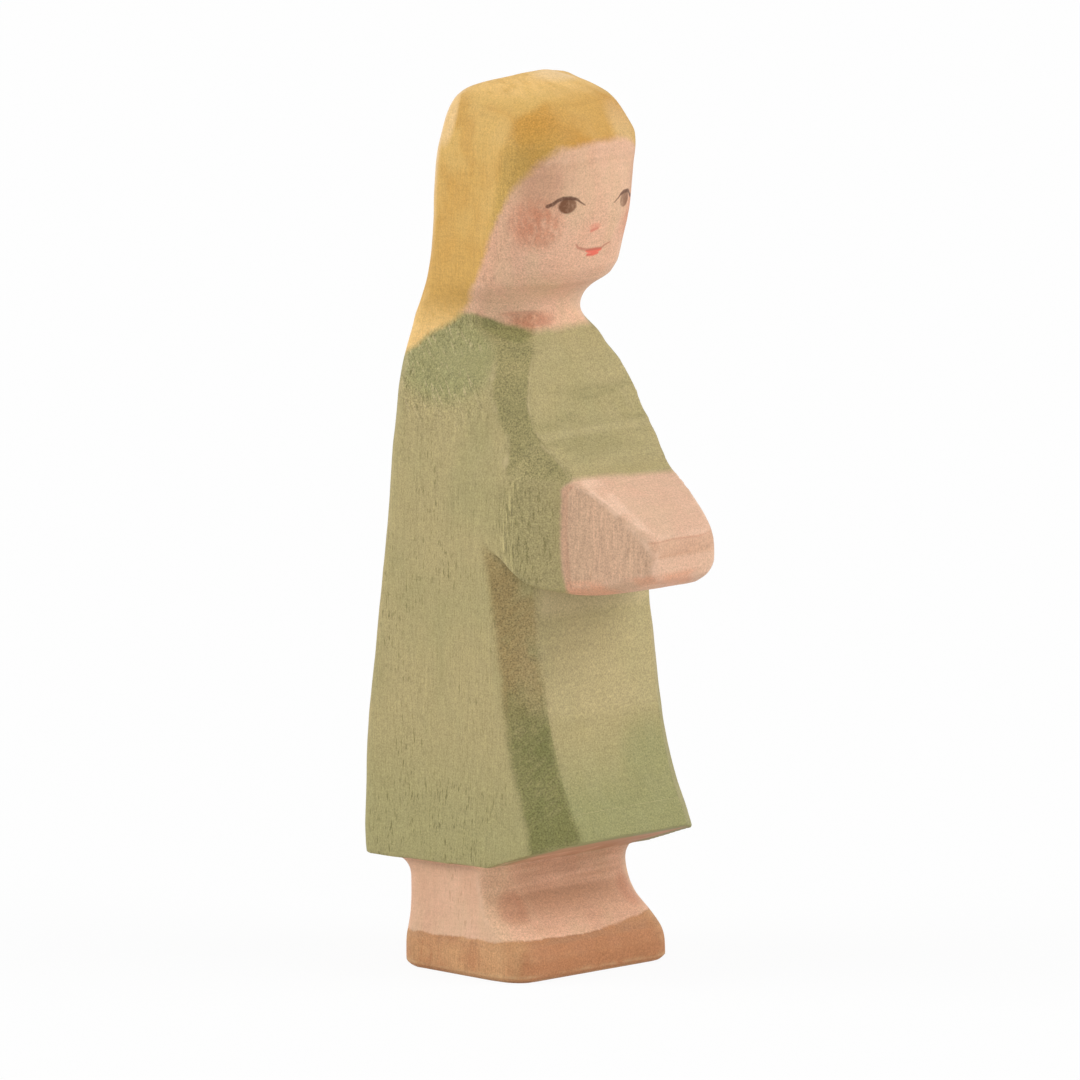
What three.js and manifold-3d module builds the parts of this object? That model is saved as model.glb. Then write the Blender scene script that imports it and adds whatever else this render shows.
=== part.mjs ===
// A hand-carved wooden toy figure: a standing child with long hair, a plain dress and both arms held out.
// The figure is one block. Its outline is sawn from a board, its corners are carved away in broad facets,
// and it is painted. Each painted region is a mesh of its own, and neighbours meet face to face, because
// the wood has no joint.
//
// Millimetres, +Z up. The figure faces -Y and stands on z = 0. The origin is below the middle of its
// bounding box. "Ahead" is the distance in front of the toe caps, so y = -ahead until the figure is
// centred at the end.

import * as THREE from "three";
import { mergeVertices } from "three/addons/utils/BufferGeometryUtils.js";
import Module from "manifold-3d";

const wasm = await Module();
wasm.setup();

// Heights, from the floor up
const shoeHeight = 4.1; // where the brown paint ends, at the toes
const legHeight = 11.2; // floor to the underside of the dress where it meets the legs
const hemRise = 3.2; // the front edge of the hem is this much higher
const hemToElbow = 31.5;
const elbowToShoulder = 17.3;
const shoulderToCollar = 3.6;
const collarToChin = 4.4;
const chinToEyes = 8.2;
const eyesToCrown = 12.0;

// Widths across the board, as half widths from the centre plane
const hemHalf = 11.2; // the full thickness of the board
const bodyHalf = 10.6;
const shoulderHalf = 9.4; // at the front corner
const neckHalf = 6.8; // at the front corner
const headHalf = 8.2;
const legHalf = 10.1;
const shoeHalf = 11.0;

// Depths, ahead of the toe caps
const toeAhead = 0.1;
const heelAhead = -16.8;
const shinAhead = -4.6;
const calfAhead = -16.6;
const hemAhead = 5.2;
const skirtAhead = -0.5; // front of the skirt under the arms
const chestAhead = -2.0;
const neckAhead = -5.7;
const chinAhead = -2.7;
const browAhead = 0.8;
const hemBackAhead = -22.5;
const elbowBackAhead = -19.7;
const shoulderBackAhead = -17.9;
const headBackAhead = -15.6;
const napeAhead = -12.0; // where hair, neck and dress meet on the side
const ridgeAhead = -6.9; // front end of the ridge that the crown rounds in to
const ridgeBackAhead = -8.8;
const faceDeep = 6.5; // how far back the half round of the face reaches

// Arms and hands, one block held out level with the waist
const armRootAhead = -9; // where the arm block is buried in the body
const elbowAhead = -1.8;
const cuffAhead = 3.2;
const tipAhead = 12.2;
const sleeveTopHalf = 7.5; // the flat top of the sleeves, up at the elbow
const cuffHalf = 6.9;
const tipHalf = 4.3;
const cuffDrop = 4.2; // the sleeve hangs this much below the elbow
const cuffThick = 11.8;
const tipRise = 2.1; // the lowest edge of the hands rises this much to the fingertips
const tipThick = 4.3;

// Edges that sandpaper has eased
const backEase = 1.6;
const soleEase = 0.5;
const cuffEase = 0.9;
const handEase = 1.2;

// The strip that is carved off the corner from the collar down the chest and along the sleeve is a little
// hollow: its power is below 1, and its middle lies this share below a straight facet.
const hollowPower = 0.85;
const hollowShare = 0.08;

const hem = legHeight;
const elbow = hem + hemToElbow;
const shoulder = elbow + elbowToShoulder;
const collar = shoulder + shoulderToCollar;
const chin = collar + collarToChin;
const eyes = chin + chinToEyes;
const crown = eyes + eyesToCrown;
const cuffBottom = elbow - cuffDrop;
const cuffTop = cuffBottom + cuffThick;
const tipBottom = cuffBottom + tipRise;
const tipTop = tipBottom + tipThick;

// The value a share of the way from one to another.
const between = (from, to, share) => from + (to - from) * share;

// Stations number the landmarks of an axis, so 2.5 is halfway from landmark 2 to landmark 3.
const stationsOf = (landmarks) => (station) => {
  const i = Math.min(Math.floor(station), landmarks.length - 2);
  return between(landmarks[i], landmarks[i + 1], station - i);
};
const heightAt = stationsOf([0, hem, elbow, shoulder, collar, chin, eyes, crown]);
const shoeHeightAt = stationsOf([0, shoeHeight, hem]);
const reachAt = stationsOf([armRootAhead, elbowAhead, cuffAhead, tipAhead]);

// The stations after one up to another, in even steps.
const steps = (from, to, count) =>
  Array.from({ length: count }, (_, i) => between(from, to, (i + 1) / count));

// A design line is a smooth curve through a few knots, [station, value] in rising order, that never
// overshoots them.
const line = (place, knots) => {
  const at = knots.map(([station]) => place(station));
  const value = knots.map(([, v]) => v);
  const last = knots.length - 1;
  const rise = (k) => (value[k + 1] - value[k]) / (at[k + 1] - at[k]);
  const slope = (k) => {
    if (k === 0 || k === last || rise(k - 1) * rise(k) <= 0) return 0;
    return (2 * rise(k - 1) * rise(k)) / (rise(k - 1) + rise(k));
  };
  return (position) => {
    if (position <= at[0]) return value[0];
    if (position >= at[last]) return value[last];
    const k = at.findIndex((knot) => knot > position) - 1;
    const width = at[k + 1] - at[k];
    const t = (position - at[k]) / width;
    const s = 1 - t;
    const ends = value[k] * s * s * (1 + 2 * t) + value[k + 1] * t * t * (3 - 2 * t);
    return ends + width * t * s * (slope(k) * s - slope(k + 1) * t);
  };
};
const valuesAt = (lines, position) =>
  Object.fromEntries(Object.entries(lines).map(([name, value]) => [name, value(position)]));

// A closed three.js geometry as a manifold-3d solid.
function solid(geometry) {
  const bare = new THREE.BufferGeometry().setAttribute("position", geometry.getAttribute("position"));
  const merged = mergeVertices(bare.setIndex(geometry.index), 1e-4);
  return new wasm.Manifold(
    new wasm.Mesh({
      numProp: 3,
      vertProperties: merged.attributes.position.array,
      triVerts: new Uint32Array(merged.index.array),
    }),
  );
}

// Back from a manifold-3d solid to a three.js geometry.
function geometryOf(made) {
  const mesh = made.getMesh();
  return new THREE.BufferGeometry()
    .setAttribute("position", new THREE.BufferAttribute(mesh.vertProperties, 3))
    .setIndex(new THREE.BufferAttribute(mesh.triVerts, 1))
    .toNonIndexed();
}

// Closed solid through rings of equal length, each a loop of Vector3, with a flat cap at both ends.
function loft(rings) {
  const count = rings[0].length;
  const positions = [];
  const triangle = (a, b, c) => positions.push(...a.toArray(), ...b.toArray(), ...c.toArray());
  for (let i = 0; i + 1 < rings.length; i++) {
    for (let j = 0; j < count; j++) {
      const k = (j + 1) % count;
      triangle(rings[i][j], rings[i][k], rings[i + 1][k]);
      triangle(rings[i][j], rings[i + 1][k], rings[i + 1][j]);
    }
  }
  const cap = (ring) => {
    const middle = ring.reduce((sum, p) => sum.add(p), new THREE.Vector3()).divideScalar(count);
    ring.forEach((p, j) => triangle(middle, p, ring[(j + 1) % count]));
  };
  cap([...rings[0]].reverse());
  cap(rings[rings.length - 1]);
  const corners = new THREE.Float32BufferAttribute(positions, 3);
  return solid(new THREE.BufferGeometry().setAttribute("position", corners));
}

// The whole ring from its right half, which starts and ends on the centre plane.
const mirrored = (half) => [
  ...half,
  ...half
    .slice(1, -1)
    .reverse()
    .map(([x, along]) => [-x, along]),
];

// A corner from the flat front or back round to the side. Power 1 is a straight facet and 2 a quarter of
// an ellipse.
function corner([fromX, fromAhead], [toX, toAhead], power, count) {
  return Array.from({ length: count + 1 }, (_, i) => {
    const angle = (i / count) * (Math.PI / 2);
    const alongX = Math.sin(angle) ** (2 / power);
    const alongAhead = 1 - Math.cos(angle) ** (2 / power);
    return [between(fromX, toX, alongX), between(fromAhead, toAhead, alongAhead)];
  });
}

// One level of an upright block: front corner, a straight side that may narrow towards the front, back
// corner.
function levelRing(z, s) {
  const sideFront = [s.halfFront, s.front - s.frontDeep];
  const sideBack = [s.half, s.back + s.backDeep];
  const frontEdge = [s.halfFront - s.frontWide, s.front];
  const backEdge = [s.half - s.backWide, s.back];
  const alongSide = (share) => sideFront.map((from, i) => between(from, sideBack[i], share));
  const half = [
    [0, s.front],
    [frontEdge[0] / 2, s.front],
    ...corner(frontEdge, sideFront, s.frontPower, 6),
    alongSide(1 / 3),
    alongSide(2 / 3),
    ...corner(backEdge, sideBack, s.backPower, 4).reverse(),
    [backEdge[0] / 2, s.back],
    [0, s.back],
  ];
  return mirrored(half).map(([x, ahead]) => new THREE.Vector3(x, -ahead, z));
}

// Dress and head together: the skirt flares to the hem, the shoulders slope in, and the face is a half
// round in front. Stations: 1 hem, 2 elbow, 3 shoulder, 4 collar, 5 chin, 6 eyes, 7 crown. The hem cut
// trims the lowest part.
function upperBlock() {
  const upright = (knots) => line(heightAt, knots);
  const lines = {
    front: upright([
      [0.8, hemAhead + 1.4],
      [1.1, hemAhead],
      [1.25, hemAhead - 2.3],
      [1.41, hemAhead - 3.9],
      [1.64, skirtAhead + 0.6],
      [1.81, skirtAhead],
      [2.25, skirtAhead],
      [2.52, chestAhead + 1.8],
      [2.62, chestAhead + 1.9],
      [2.71, chestAhead + 0.8],
      [2.8, chestAhead + 0.1],
      [2.94, chestAhead - 0.7],
      [3.53, chestAhead - 2],
      [4, neckAhead + 0.6],
      [4.32, neckAhead],
      [4.59, neckAhead + 0.4],
      [4.8, chinAhead - 1.5],
      [5, chinAhead],
      [5.12, chinAhead + 1],
      [5.48, browAhead - 1.4],
      [5.83, browAhead - 0.5],
      [6.17, browAhead - 0.1],
      [6.38, browAhead],
      [6.59, between(browAhead, ridgeAhead, 0.14)],
      [6.725, between(browAhead, ridgeAhead, 0.29)],
      [6.825, between(browAhead, ridgeAhead, 0.45)],
      [6.89, between(browAhead, ridgeAhead, 0.65)],
      [6.96, between(browAhead, ridgeAhead, 0.83)],
      [7, ridgeAhead],
    ]),
    frontWide: upright([
      [1, 4],
      [1.25, 3.4],
      [1.87, 2.95],
      [2.45, 2.6],
      [2.62, 2],
      [2.8, 2.1],
      [2.94, 2.4],
      [3.5, 2.2],
      [4, neckHalf / 2],
      [4.32, neckHalf * 0.8],
      [5, headHalf * 0.87],
      [6.5, headHalf * 0.91],
      [6.59, headHalf * 0.88],
      [6.725, headHalf * 0.79],
      [6.825, headHalf * 0.68],
      [6.89, headHalf * 0.55],
      [6.96, headHalf * 0.28],
      [7, headHalf * 0.05],
    ]),
    frontDeep: upright([
      [1, 3.6],
      [1.25, 3.1],
      [1.67, 2.9],
      [1.87, 3.6],
      [2, 4.9],
      [2.29, 2.1],
      [2.45, 1.9],
      [2.54, 2.2],
      [2.62, 2.6],
      [2.94, 2.9],
      [3.5, 2.9],
      [4.09, 4.8],
      [4.45, 4.4],
      [5, faceDeep * 0.89],
      [5.39, faceDeep],
      [6.17, faceDeep],
      [6.5, faceDeep * 0.74],
      [6.59, faceDeep * 0.71],
      [6.825, faceDeep * 0.57],
      [6.96, faceDeep * 0.31],
      [7, faceDeep * 0.14],
    ]),
    halfFront: upright([
      [1, hemHalf],
      [1.25, bodyHalf + 0.1],
      [2.34, bodyHalf],
      [2.45, bodyHalf - 0.1],
      [2.54, bodyHalf - 0.7],
      [2.62, shoulderHalf + 0.1],
      [2.8, shoulderHalf],
      [2.94, shoulderHalf - 0.6],
      [3.5, neckHalf + 0.2],
      [4, neckHalf],
      [4.45, neckHalf + 0.2],
      [5, headHalf],
      [6.5, headHalf],
      [6.59, headHalf * 0.95],
      [6.725, headHalf * 0.88],
      [6.825, headHalf * 0.77],
      [6.89, headHalf * 0.63],
      [6.96, headHalf * 0.35],
      [7, headHalf * 0.12],
    ]),
    half: upright([
      [1, hemHalf],
      [1.25, bodyHalf + 0.1],
      [2.77, bodyHalf],
      [2.94, bodyHalf - 0.4],
      [3.53, headHalf + 1],
      [4, headHalf + 0.5],
      [5, headHalf + 0.2],
      [6, headHalf],
      [6.52, headHalf * 0.975],
      [6.77, headHalf * 0.93],
      [6.87, headHalf * 0.85],
      [6.93, headHalf * 0.66],
      [6.975, headHalf * 0.37],
      [7, headHalf * 0.15],
    ]),
    back: upright([
      [0.8, hemBackAhead + 0.6],
      [1.06, hemBackAhead + 0.2],
      [1.25, hemBackAhead],
      [1.44, hemBackAhead + 0.4],
      [1.64, hemBackAhead + 1.3],
      [1.86, elbowBackAhead - 0.6],
      [2, elbowBackAhead],
      [2.43, elbowBackAhead + 0.7],
      [2.77, shoulderBackAhead - 0.3],
      [4, shoulderBackAhead],
      [4.32, shoulderBackAhead + 0.5],
      [5, headBackAhead - 0.7],
      [5.5, headBackAhead - 0.1],
      [6, headBackAhead],
      [6.28, between(headBackAhead, ridgeBackAhead, 0.03)],
      [6.52, between(headBackAhead, ridgeBackAhead, 0.13)],
      [6.77, between(headBackAhead, ridgeBackAhead, 0.29)],
      [6.87, between(headBackAhead, ridgeBackAhead, 0.47)],
      [6.93, between(headBackAhead, ridgeBackAhead, 0.69)],
      [7, ridgeBackAhead],
    ]),
    backWide: upright([
      [6.77, backEase],
      [6.93, 1],
      [7, 0.2],
    ]),
    backDeep: upright([
      [6.77, backEase],
      [6.93, 1.2],
      [7, 0.4],
    ]),
    frontPower: upright([
      [2.3, 1],
      [2.6, hollowPower],
      [3.2, hollowPower],
      [3.6, 1],
      [4, 1.1],
      [4.32, 1.5],
      [5, 2],
    ]),
    backPower: () => 1.4,
  };
  const stations = [
    0.8,
    ...steps(0.8, 1.4, 9),
    ...steps(1.4, 2, 6),
    ...steps(2, 2.5, 4),
    ...steps(2.5, 3, 10),
    ...steps(3, 4, 5),
    ...steps(4, 5, 7),
    ...steps(5, 6, 6),
    ...steps(6, 6.5, 4),
    ...steps(6.5, 6.87, 6),
    ...steps(6.87, 7, 5),
  ];
  return loft(stations.map(heightAt).map((z) => levelRing(z, valuesAt(lines, z))));
}

// Legs and shoes: a waisted block that flares out to the toe caps. Stations: 1 top of the shoes, 2 hem.
function lowerBlock() {
  const upright = (knots) => line(shoeHeightAt, knots);
  const eased = soleEase / shoeHeight; // the station where the eased sole edge ends
  const buried = 2.2; // the legs run a little way up inside the dress
  const half = upright([
    [0, shoeHalf - soleEase],
    [eased, shoeHalf],
    [0.6, shoeHalf],
    [1.14, shoeHalf - 0.5],
    [1.56, legHalf],
    [1.8, legHalf],
    [2, legHalf + 0.2],
  ]);
  const lines = {
    front: upright([
      [0, toeAhead - soleEase],
      [eased, toeAhead],
      [0.6, toeAhead],
      [0.85, toeAhead - 0.5],
      [1.06, toeAhead - 1.4],
      [1.31, shinAhead + 1.6],
      [1.56, shinAhead + 0.4],
      [1.79, shinAhead],
      [2, shinAhead + 0.6],
      [buried, shinAhead + 2],
    ]),
    frontWide: upright([
      [0, 2.4],
      [eased, 2.9],
      [1.2, 2.7],
      [2, 2.4],
    ]),
    frontDeep: upright([
      [0, 3.3],
      [0.8, 3.6],
      [1.1, 3],
      [1.56, 1.8],
      [2, 1.7],
      [buried, 2.8],
    ]),
    halfFront: half,
    half,
    back: upright([
      [0, heelAhead + soleEase],
      [eased, heelAhead],
      [0.6, heelAhead],
      [1.14, heelAhead + 0.3],
      [1.52, calfAhead],
      [1.72, calfAhead - 0.2],
      [1.86, calfAhead - 1],
      [1.94, calfAhead - 2.2],
      [buried, calfAhead - 2.8],
    ]),
    backWide: upright([
      [0, 2],
      [1.56, 1.5],
    ]),
    backDeep: upright([
      [0, 1.9],
      [eased, 2.2],
      [1.56, 1.6],
      [1.86, 2.5],
      [buried, 3.2],
    ]),
    frontPower: upright([
      [0, 2.2],
      [1, 2],
      [1.42, 1.1],
    ]),
    backPower: () => 1.7,
  };
  const stations = [
    0,
    ...steps(0, eased, 2),
    ...steps(eased, 1, 4),
    ...steps(1, 1.72, 5),
    ...steps(1.72, buried, 7),
  ];
  return loft(stations.map(shoeHeightAt).map((z) => levelRing(z, valuesAt(lines, z))));
}

// Both arms as one block that narrows to the joined hands. Its sections stand across the figure.
// Stations: 0 where it starts inside the body, 1 elbow, 2 cuff, 3 fingertips.
function armBlock() {
  const along = (knots) => line(reachAt, knots);
  const lines = {
    half: along([
      [0, bodyHalf],
      [0.9, bodyHalf],
      [1.12, bodyHalf - 0.4],
      [2, cuffHalf],
      [2.89, tipHalf + 0.4],
      [2.97, tipHalf],
      [3, tipHalf - 0.5],
    ]),
    topHalf: along([
      [0, sleeveTopHalf],
      [1.36, sleeveTopHalf],
      [1.7, cuffHalf],
      [2, cuffHalf - 0.4],
      [2.89, tipHalf - 0.2],
      [3, tipHalf - 1.2],
    ]),
    top: along([
      [0, cuffTop + 4.2],
      [1.09, cuffTop + 4.2],
      [1.36, cuffTop + 3.1],
      [1.7, cuffTop + 1.5],
      [2, cuffTop],
      [2.2, cuffTop - 1.1],
      [2.48, cuffTop - 2.5],
      [2.89, tipTop + 0.7],
      [2.97, tipTop],
      [3, tipTop - 1],
    ]),
    topSide: along([
      [0, cuffTop - 0.6],
      [1, cuffTop - 0.6],
      [1.21, cuffTop - 0.3],
      [1.47, cuffTop - 0.6],
      [1.68, cuffTop - 0.7],
      [2, cuffTop - 0.8],
      [2.89, tipTop - 0.3],
      [3, tipTop - 1.6],
    ]),
    bottom: along([
      [0, elbow + 1.6],
      [0.67, elbow],
      [1.51, cuffBottom + 0.5],
      [2, cuffBottom],
      [2.79, tipBottom - 1],
      [2.91, tipBottom - 0.4],
      [2.97, tipBottom],
      [3, tipBottom + 1],
    ]),
    ease: along([
      [0, 0.2],
      [1.3, 0.3],
      [2, cuffEase],
      [2.5, handEase],
      [3, handEase],
    ]),
  };
  const ring = (ahead) => {
    const s = valuesAt(lines, ahead);
    const half = [
      [0, s.top],
      [s.topHalf / 2, s.top],
      [s.topHalf, s.top - 0.1],
      [(s.topHalf + s.half) / 2, s.top - (0.5 + hollowShare) * (s.top - s.topSide)],
      [s.half, s.topSide],
      [s.half, (s.topSide + s.bottom) / 2],
      [s.half, s.bottom + s.ease],
      [s.half - 0.4 * s.ease, s.bottom + 0.4 * s.ease],
      [s.half - s.ease, s.bottom],
      [s.half / 2, s.bottom],
      [0, s.bottom],
    ];
    return mirrored(half)
      .reverse()
      .map(([x, z]) => new THREE.Vector3(x, -ahead, z));
  };
  const stations = [
    0,
    ...steps(0, 1, 2),
    ...steps(1, 2, 9),
    ...steps(2, 2.89, 6),
    ...steps(2.89, 3, 4),
  ];
  return loft(stations.map(reachAt).map(ring));
}

// The borders between the painted regions, drawn on the side of the board as [ahead, height].
const wide = 30; // borders run this far past the figure
const pastCuff = 8; // and the cuff border this far past the sleeve
const floorBelow = -5;
const above = crown + 5;
const underCuff = cuffBottom - pastCuff;
const overCuff = cuffTop + pastCuff;
const hairFront = browAhead + 4.2;

const shoeBorder = [
  [-wide, shoeHeight - 0.9],
  [wide, shoeHeight + 0.9],
];
const hemBorder = [
  [-wide, hem - 1],
  [shinAhead + 0.6, hem],
  [hemAhead, hem + hemRise],
  [wide, hem + hemRise * 3.6],
];
const napeCorner = [napeAhead, collar + 0.9];
const hairline = new THREE.SplineCurve(
  [
    [hairFront, heightAt(6.55)],
    [between(browAhead, napeAhead, 0.04), heightAt(6.5)],
    [between(browAhead, napeAhead, 0.1), heightAt(6.43)],
    [between(browAhead, napeAhead, 0.16), heightAt(6.37)],
    [between(browAhead, napeAhead, 0.3), heightAt(6.22)],
    [between(browAhead, napeAhead, 0.49), heightAt(5.85)],
    [between(browAhead, napeAhead, 0.64), heightAt(5.38)],
    [between(browAhead, napeAhead, 0.73), heightAt(5.05)],
    [between(browAhead, napeAhead, 0.875), heightAt(4.53)],
    napeCorner,
  ].map(([ahead, z]) => new THREE.Vector2(ahead, z)),
)
  .getPoints(24)
  .map((p) => p.toArray());
const collarBorder = [
  napeCorner,
  [between(neckAhead, napeAhead, 0.67), collar + 0.8],
  [between(neckAhead, napeAhead, 0.33), collar + 0.1],
  [between(neckAhead, napeAhead, 0.1), collar - 0.4],
  [neckAhead + 0.7, collar - 0.7],
  [hairFront, collar - 0.7],
];
const hairEnd = [napeCorner, [shoulderBackAhead + 2, collar - 2.3], [-wide, collar - 13.9]];
const cuffBorder = [
  [cuffAhead + 0.3, underCuff],
  [cuffAhead, cuffBottom],
  [cuffAhead - 0.5, cuffBottom + 6],
  [cuffAhead - 0.4, cuffTop - 1.4],
  [cuffAhead + 0.8, cuffTop - 0.2],
  [cuffAhead + 2, overCuff],
];

const backwards = (border) => [...border].reverse();
const regions = {
  shoes: [[-wide, floorBelow], [wide, floorBelow], ...backwards(shoeBorder)],
  legs: [...shoeBorder, ...backwards(hemBorder)],
  aboveHem: [[-wide, above], ...hemBorder, [wide, above]],
  dress: [
    [-wide, floorBelow],
    [wide, floorBelow],
    [wide, underCuff],
    ...cuffBorder,
    ...backwards(collarBorder),
    ...hairEnd.slice(1),
  ],
  hands: [...backwards(cuffBorder), [wide, underCuff], [wide, overCuff]],
  head: [...backwards(collarBorder), ...backwards(hairline).slice(1)],
  hair: [...backwards(hairEnd), ...backwards(hairline).slice(1), [hairFront, above], [-wide, above]],
};

// The part of a block inside an outline that is drawn on the side of the board.
function cutTo(block, outline) {
  const shape = new THREE.Shape(outline.map(([ahead, z]) => new THREE.Vector2(ahead, z)));
  const geometry = new THREE.ExtrudeGeometry(shape, { depth: wide * 2, bevelEnabled: false });
  // The outline's x is ahead and its y is height, so it is turned to stand across the board.
  const across = new THREE.Matrix4().makeBasis(
    new THREE.Vector3(0, -1, 0),
    new THREE.Vector3(0, 0, 1),
    new THREE.Vector3(-1, 0, 0),
  );
  geometry.applyMatrix4(across).translate(wide, 0, 0);
  return block.intersect(solid(geometry));
}

const lower = lowerBlock();
const upper = cutTo(upperBlock(), regions.aboveHem).add(armBlock());
const pieces = {
  shoes: { shape: cutTo(lower, regions.shoes), color: 0xbd8a5f },
  legs: { shape: cutTo(lower, regions.legs), color: 0xc99b7c },
  dress: { shape: cutTo(upper, regions.dress), color: 0xaea173 },
  hands: { shape: cutTo(upper, regions.hands), color: 0xdcb195 },
  head: { shape: cutTo(upper, regions.head), color: 0xd6a98b },
  hair: { shape: cutTo(upper, regions.hair), color: 0xd5ab63 },
};

const group = new THREE.Group();
const box = new THREE.Box3();
for (const [name, { shape, color }] of Object.entries(pieces)) {
  const mesh = new THREE.Mesh(
    geometryOf(shape),
    new THREE.MeshStandardMaterial({ color, roughness: 0.75, metalness: 0 }),
  );
  mesh.name = name;
  group.add(mesh);
  box.expandByObject(mesh);
}
const middle = box.getCenter(new THREE.Vector3());
group.position.set(-middle.x, -middle.y, -box.min.z);

export default group;
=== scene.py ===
import math

import bmesh
import bpy
import numpy as np
from mathutils import Matrix, Vector, noise
from mathutils.kdtree import KDTree


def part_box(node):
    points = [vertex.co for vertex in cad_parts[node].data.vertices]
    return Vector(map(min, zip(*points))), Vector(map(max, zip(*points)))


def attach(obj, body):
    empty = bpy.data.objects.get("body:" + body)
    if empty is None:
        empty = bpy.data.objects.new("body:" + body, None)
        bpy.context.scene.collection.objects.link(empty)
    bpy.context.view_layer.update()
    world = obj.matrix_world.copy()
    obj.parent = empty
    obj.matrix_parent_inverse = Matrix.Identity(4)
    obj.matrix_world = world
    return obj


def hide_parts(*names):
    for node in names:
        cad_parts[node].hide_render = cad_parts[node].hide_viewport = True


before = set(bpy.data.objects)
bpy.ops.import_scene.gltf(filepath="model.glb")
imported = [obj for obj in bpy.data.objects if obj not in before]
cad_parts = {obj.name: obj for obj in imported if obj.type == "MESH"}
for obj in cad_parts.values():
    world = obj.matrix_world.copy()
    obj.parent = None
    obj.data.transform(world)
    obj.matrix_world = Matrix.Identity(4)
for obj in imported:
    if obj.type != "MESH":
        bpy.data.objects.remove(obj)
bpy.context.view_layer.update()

# The looks of a hand-carved wooden toy figure, built around its CAD solids. Objects are in metres. Carving
# and paint are in millimetres: u is the distance to the figure's left, ahead the distance towards the side
# that it faces, which is -Y, and height the distance above the floor.

MM = 0.001

# The front of the toe caps, as a distance ahead and in the frame's own coordinates
TOE_AHEAD = 0.1
TOE_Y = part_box("shoes")[0][1] / MM

# Heights of the figure's landmarks
HEM = 11.2
CUFF_BOTTOM = 38.5
CROWN = 88.2

# Fineness of the carved surface, and the rounds of smoothing that ease it
VOXEL = 0.25
FACET_ROUNDS = 4
MELT_ROUNDS = 14
BEND_ROUNDS = 60
CORNER_ROUNDS = 8

# Rounds of smoothing whose shift shows where the edges and the hollows are
EDGE_ROUNDS = 4
HOLLOW_ROUNDS = 30

# Smoothing that moves a point less than the first distance is kept, and one over the second is undone.
MELT_SHIFT = (0.035, 0.09)

# In metres: the CAD solids' corners that are closer than this are one point.
WELD_DISTANCE = 1e-7

# Faces that meet at more than this angle are shaded with a sharp edge.
SHARP_DEGREES = 45

# The bend inside each elbow: its distance from the middle and ahead, and how far it reaches each way
BEND_PLACE = (10.3, -1.5)
BEND_REACH = (1.3, 1.6)

# The knife's long and short waves per millimetre, and the short ones' share of the depth. How far they go
# on the ends of the wood, how much less on the sawn sides, and below which height the sole stays flat
LONG_WAVE = 0.17
SHORT_WAVE = 0.43
SHORT_SHARE = 0.5
WAVE_DEPTH = 0.1
LESS_ON_SIDES = 0.06
FLAT_SOLE = 0.6

# Where the camera stands, where the floor's middle lies in the picture, and how many metres it sees
CAMERA_AZIMUTH = -44.5
CAMERA_ELEVATION = 9.8
CAMERA_DISTANCE = 3600.0
PICTURE_PIXELS = 1080
PIXELS_PER_MM = 10.24
ORIGIN_PIXEL = (560.1, 965.8)
SENSOR = 36.0
CLIP_END = 10.0

# Light from all around, and the floor: its radius in metres, how pale and rough it is for the light that
# bounces up, and the share of white that the camera sees on it
AMBIENT = 0.42
FLOOR_RADIUS = 6.0
FLOOR_COLOUR = (0.8, 0.8, 0.8, 1)
FLOOR_ROUGHNESS = 0.9
FLOOR_WHITE = 0.93

# Each lamp's azimuth, elevation and strength, and over how many degrees its light spreads
LAMPS = {
    "left_lamp": (-130, 32, 1.86, 45),
    "right_lamp": (36, 34, 1.75, 45),
    "fill_lamp": (CAMERA_AZIMUTH + 15, 6, 0.65, 40),
}


# Curves and borders

def smooth_curve(points, steps=6):
    """A Catmull-Rom curve through the points."""
    path = [points[0], *points, points[-1]]
    curve = []
    for corners in zip(path, path[1:], path[2:], path[3:]):
        for step in range(steps):
            share = step / steps
            curve.append(tuple(
                start + 0.5 * share * (end - before + share * (
                    2 * before - 5 * start + 4 * end - after
                    + share * (3 * start - before - 3 * end + after)
                ))
                for before, start, end, after in zip(*corners)
            ))
    return [*curve, points[-1]]


# The borders are drawn on the side of the board, as points with ahead and height. They run this far past
# the figure, the face's borders this far ahead, and the cuff's border between these heights.
FAR = 30.0
PAST_FACE = 5.0
BELOW_HANDS = 30.5
ABOVE_HANDS = 58.3

NAPE = (-12.0, 64.5)
SHOE_BORDER = [(-FAR, 3.2), (FAR, 5.0)]
HEM_BORDER = [(-FAR, 10.2), (-4.0, HEM), (5.2, 14.4), (FAR, 22.7)]
HAIRLINE = smooth_curve([
    (PAST_FACE, 82.8), (0.3, 82.2), (-0.5, 81.4), (-1.25, 80.6), (-3.0, 78.8), (-5.5, 75.0),
    (-7.4, 71.1), (-8.5, 68.4), (-10.4, 65.9), NAPE,
], 3)
COLLAR_BORDER = [NAPE, (-9.9, 64.4), (-7.8, 63.7), (-6.3, 63.2), (-5.0, 62.9), (PAST_FACE, 62.9)]
HAIR_END = [NAPE, (-15.9, 61.3), (-FAR, 49.7)]
CUFF_BORDER = [
    (3.5, BELOW_HANDS), (3.2, CUFF_BOTTOM), (2.7, 44.5), (2.8, 48.9), (4.0, 50.1), (5.2, ABOVE_HANDS),
]

# The dress keeps its whole underside, so the wood is parted this far below the hem.
PART_BELOW_HEM = 0.45
HEM_PARTING = [(ahead, height - PART_BELOW_HEM) for ahead, height in HEM_BORDER]

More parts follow.
